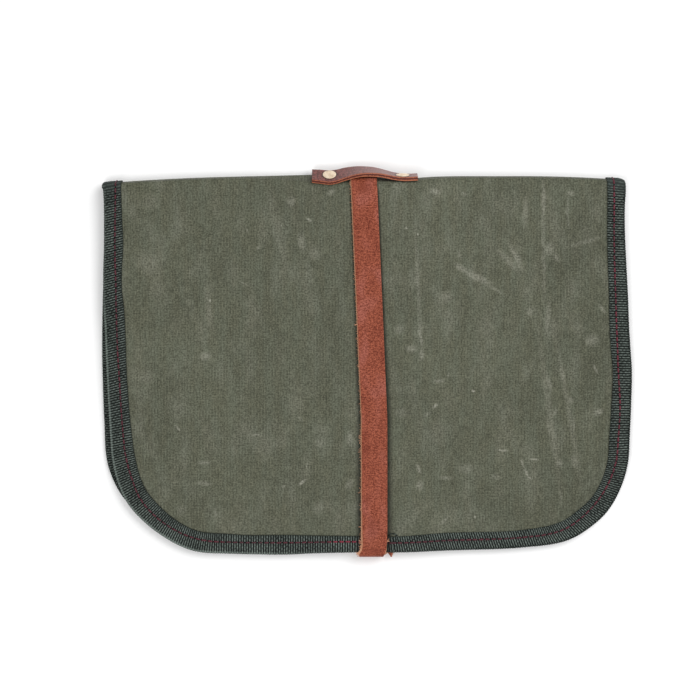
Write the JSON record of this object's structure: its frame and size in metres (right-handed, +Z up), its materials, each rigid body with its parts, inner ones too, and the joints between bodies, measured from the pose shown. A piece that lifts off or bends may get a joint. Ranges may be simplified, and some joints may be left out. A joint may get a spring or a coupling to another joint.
{
  "type": "tool roll",
  "caption": "Folded waxed canvas tool roll with ribbed tape binding, held shut by a flat leather strap that passes under a riveted leather keeper on the fold.",
  "frame": {"origin": "middle of the roll's footprint, on the surface that it lies on", "axes": "+X to the right along the fold, +Y from the open edge to the fold, +Z up out of the front half"},
  "size_m": [0.3404, 0.2522, 0.0187],
  "materials": {
    "waxed_canvas": "waxed, scuffed, plain weave",
    "ribbed_tape": "ribbed across, matt",
    "strap_leather": "reddish brown, fine grain, satin",
    "keeper_leather": "dark brown, smooth, with paler cut edges",
    "rivet_brass": "pale, lightly worn"
  },
  "bodies": {
    "root": {"canvas_sheet": "waxed_canvas", "edge_binding": "ribbed_tape", "strap": "strap_leather", "strap_keeper": "keeper_leather", "rivet_left": "rivet_brass", "rivet_right": "rivet_brass"}
  },
  "joints": []
}
